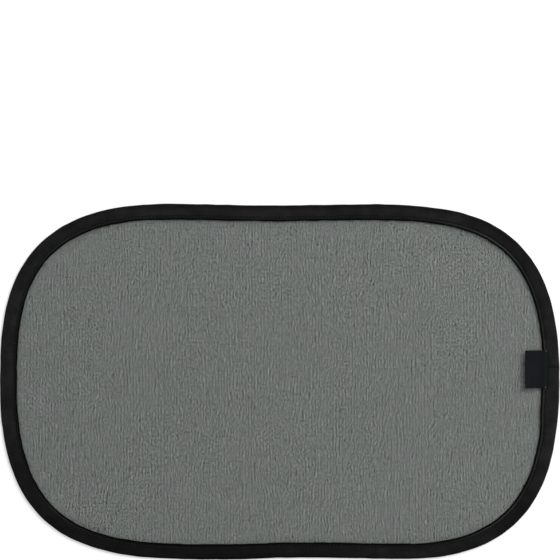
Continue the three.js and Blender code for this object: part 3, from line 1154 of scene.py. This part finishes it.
@dataclass
class SeamThread:
    """The stitch line near the binding's inner edge, front and back, and the label's tacks."""

    outline: Outline
    binding: EdgeBinding
    label: FoldedLabel
    radius: float = 0.19
    steps: int = 7
    slant: float = 0.16
    BLACK: ClassVar[ThreadFinish] = ThreadFinish(
        "black_thread", (0.004, 0.004, 0.0045, 1), (0.011, 0.011, 0.0115, 1))
    PALE: ClassVar[ThreadFinish] = ThreadFinish(
        "pale_thread", (0.06, 0.06, 0.06, 1), (0.18, 0.18, 0.18, 1))

    def stitch(self, start: float, length: float, inset_start: float, inset_end: float,
               top: bool) -> tuple[Array, Array]:
        """One stitch from hole to hole.

        Args:
            start: Where it comes up, along the edge in millimetres.
            length: Its length.
            inset_start: Its distance from the inner edge where it starts.
            inset_end: The same where it ends.
            top: Whether it lies on the front.

        Returns:
            Its points and their radii.
        """
        share = np.linspace(0, 1, self.steps)
        along = start + length * share
        width = self.outline.at(along * MM, self.outline.width) / MM
        inset = width - (inset_start + (inset_end - inset_start) * share)
        dive = np.abs(2 * share - 1) ** 4
        if top:
            height = self.binding.front(along, inset, width) + self.radius * 0.75
            spot = self.outline.place(along * MM, inset * MM, height * MM) / MM
            x, y = spot[:, 0], spot[:, 1]
            on_label = self.label.over(x, y) + self.radius * 0.5
            height = np.where(self.label.covers(x, y), on_label, height)
            height = height - 0.42 * dive
        else:
            height = self.radius + 0.3 * dive
        line = self.outline.place(along * MM, inset * MM, height * MM)
        return line, self.radius * MM * (1 - 0.35 * dive)

    def build(self) -> None:
        """Makes the needle and bobbin threads and the label's tacks."""
        chance = random.Random(31)
        pitch = self.outline.pitch / MM
        seam = self.binding.seam
        front, back = [], []
        for k in range(self.outline.stitches):
            lean = self.slant * chance.uniform(0.6, 1.2)
            off = chance.gauss(0, 0.05)
            front.append(self.stitch((k + 0.06) * pitch, 0.88 * pitch, seam + off + lean / 2,
                                     seam + off - lean / 2, True))
            back.append(self.stitch((k + 0.08) * pitch, 0.84 * pitch, seam + off, seam + off,
                                    False))
        black = self.BLACK.material()
        for name, group in (("needle_thread", front), ("bobbin_thread", back)):
            self.sew(name, group, black, Slot.TAPE)
        self.tacks()

    def sew(self, name: str, stitches: list[tuple[Array, Array]], thread: bpy.types.Material,
            slot: Slot) -> None:
        """Makes one piece of many stitches."""
        lines, radii = zip(*stitches)
        place_piece(Cloth.tubes(name, list(lines), list(radii)), thread, slot)

    def tacks(self) -> None:
        """Makes the few pale stitches at the label's two ends."""
        label, seam = self.label, self.binding.seam
        ends = ((label.inner_x + 14.2, label.high_y - 0.1),
                (label.inner_x + 10.4, label.low_y + 0.2))
        tacks = []
        for x, y in ends:
            along = self.outline.nearest(x * MM, y * MM) / MM
            for k in range(2):
                tacks.append(self.stitch(along - 0.9 + 0.35 * k, 1.5, seam - 0.3 + 0.4 * k,
                                         seam + 0.1 + 0.3 * k, True))
        self.sew("label_tacks", tacks, self.PALE.material(), Slot.LABEL)


@dataclass
class MeshPanel:
    """The knitted mesh, one sheet with a ridge for each pair of wales. Millimetres."""

    outline: Outline
    wale_pair: float = 2.6
    rise: float = 0.18
    tuck: float = 5.2
    level: float = 1.55
    columns_per_pair: int = 4
    rows: int = 44
    slack: Puckers = field(default_factory=lambda: Puckers(41, 0.05, 140, 40, 0.03))

    def edge(self) -> Array:
        """The sheet's cut edge, under the binding."""
        inset = self.outline.width - self.tuck * MM
        return self.outline.place(self.outline.along, inset, 0 * inset)[:, :2] / MM

    @staticmethod
    def span(edge: Array, columns: Array) -> tuple[Array, Array]:
        """The lowest and highest point of the sheet in each column.

        Args:
            edge: The sheet's edge.
            columns: The columns' places.

        Returns:
            The low and the high points.
        """
        upper = edge[edge[:, 1] > 0]
        lower = edge[edge[:, 1] <= 0]
        upper = upper[np.argsort(upper[:, 0])]
        lower = lower[np.argsort(lower[:, 0])]
        return (np.interp(columns, lower[:, 0], lower[:, 1]),
                np.interp(columns, upper[:, 0], upper[:, 1]))

    def build(self) -> None:
        """Makes the mesh panel and dresses it."""
        edge = self.edge()
        left, right = edge[:, 0].min(), edge[:, 0].max()
        pairs = round((right - left) / self.wale_pair)
        x = np.linspace(left + 0.05, right - 0.05, pairs * self.columns_per_pair + 1)
        low, high = self.span(edge, x)
        share = np.linspace(0, 1, self.rows)
        grid_x = np.repeat(x[:, None], self.rows, 1)
        grid_y = low[:, None] + (high - low)[:, None] * share
        ridge = np.cos(2 * math.pi * grid_x / self.wale_pair)
        hold = np.minimum(1, 4 * share * (1 - share)) * np.minimum(1, (high - low) / 120)[:, None]
        z = self.level + self.rise / 2 * ridge + self.slack.height(grid_x, grid_y, 461) * hold
        points = np.stack([grid_x, grid_y, z], -1) * MM
        inner = self.outline.inner / MM
        near = np.array([np.hypot(inner[:, 0] - cx, inner[:, 1] - cy).min()
                         for cx, cy in zip(grid_x.reshape(-1), grid_y.reshape(-1))])
        # Painted shade along the binding's inner edge, strongest at the edge and gone 2.5 mm in.
        edge_shade = 0.12 * (1 - ease(near, 0.0, 2.5))
        piece = Cloth.grid("knit_panel", points, points[..., :2], False, False,
                           marks={KnitFinish.EDGE_SHADE: edge_shade})
        place_piece(piece, KnitFinish().material(), Slot.KNIT, "mesh_panel")


@dataclass
class HiddenSteel:
    """The hoop in the binding's channel and the sleeve that joins its ends."""

    nodes: tuple[str, str] = ("spring_hoop", "hoop_sleeve")

    def dress(self) -> None:
        """Gives both the finish of drawn steel."""
        for node in self.nodes:
            dress_node(node, SteelFinish().material(node + "_steel"))


@dataclass
class ClingFilm:
    """The clear film behind the mesh."""

    node: str = "cling_film"

    def dress(self) -> None:
        """Gives the film its clear finish."""
        dress_node(self.node, FilmFinish().material())


def dress_node(node: str, material: bpy.types.Material) -> None:
    """Puts a material on every slot of a CAD node.

    Args:
        node: The node's name.
        material: Its new material.
    """
    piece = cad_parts[node]
    for slot in piece.material_slots:
        slot.material = material
    log.info("%s: dressed", node)


@dataclass
class Studio:
    """The floor, the lamps, the pale surroundings and the camera."""

    floor_half: float = 2.5
    surroundings: float = 0.52
    lamp_power: float = 48.0
    lamp_size: float = 1.8
    lamp_place: tuple[float, float, float] = (1.35, 1.35, 1.77)
    camera_height: float = 3.0
    view_width: float = 0.48051
    view_middle: tuple[float, float] = (0.00026, 0.0872)
    sensor: float = 36.0

    def build(self) -> None:
        """Sets up everything round the shade."""
        self.floor()
        self.lamps()
        self.world()
        self.camera()
        bpy.context.scene.view_settings.view_transform = "Standard"

    def floor(self) -> None:
        """Lays the floor under the shade."""
        half = self.floor_half
        mesh = bpy.data.meshes.new("floor")
        mesh.from_pydata([(-half, -half, 0), (half, -half, 0), (half, half, 0), (-half, half, 0)],
                         [], [(0, 1, 2, 3)])
        floor = bpy.data.objects.new("floor", mesh)
        floor.data.materials.append(FloorFinish().material())
        floor.location.z = -0.00005
        bpy.context.scene.collection.objects.link(floor)

    def lamps(self) -> None:
        """Hangs one large soft lamp at the upper right."""
        data = bpy.data.lights.new("soft_lamp", "AREA")
        data.shape = "DISK"
        data.size = self.lamp_size
        data.energy = self.lamp_power
        lamp = bpy.data.objects.new("soft_lamp", data)
        lamp.location = self.lamp_place
        lamp.rotation_mode = "QUATERNION"
        lamp.rotation_quaternion = (-lamp.location).to_track_quat("-Z", "Y")
        bpy.context.scene.collection.objects.link(lamp)

    def world(self) -> None:
        """Makes the surroundings pale, and white to the camera."""
        world = bpy.data.worlds.new("surroundings")
        bpy.context.scene.world = world
        world.use_nodes = True
        tree = world.node_tree
        tree.nodes.clear()
        output = tree.nodes.new("ShaderNodeOutputWorld")
        shade = tree.nodes.new("ShaderNodeBackground")
        seen = tree.nodes.new("ShaderNodeLightPath")
        white = tree.nodes.new("ShaderNodeMapRange")
        white.inputs["To Min"].default_value = self.surroundings
        white.inputs["To Max"].default_value = 1.0
        tree.links.new(seen.outputs["Is Camera Ray"], white.inputs["Value"])
        tree.links.new(white.outputs[0], shade.inputs["Strength"])
        shade.inputs["Color"].default_value = (1, 1, 1, 1)
        tree.links.new(shade.outputs[0], output.inputs["Surface"])

    def camera(self) -> None:
        """Hangs the camera straight above, with the photograph's frame."""
        data = bpy.data.cameras.new("camera")
        data.sensor_width = self.sensor
        data.lens = self.sensor * self.camera_height / self.view_width
        data.clip_end = 20
        camera = bpy.data.objects.new("camera", data)
        camera.location = (*self.view_middle, self.camera_height)
        bpy.context.scene.collection.objects.link(camera)
        bpy.context.scene.camera = camera


def main() -> None:
    """Builds the shade from its back to its front, then the studio."""
    logging.basicConfig(level=logging.INFO, format="%(name)s: %(message)s")
    outline = Outline()
    log.info("edge: %.1f mm round, stitches %.2f mm", outline.length / MM, outline.pitch / MM)
    binding = EdgeBinding(outline)
    label = FoldedLabel(outline, binding)
    binding.build()
    label.build()
    MeshPanel(outline).build()
    ClingFilm().dress()
    HiddenSteel().dress()
    SeamThread(outline, binding, label).build()
    Studio().build()


if __name__ == "__main__":
    main()
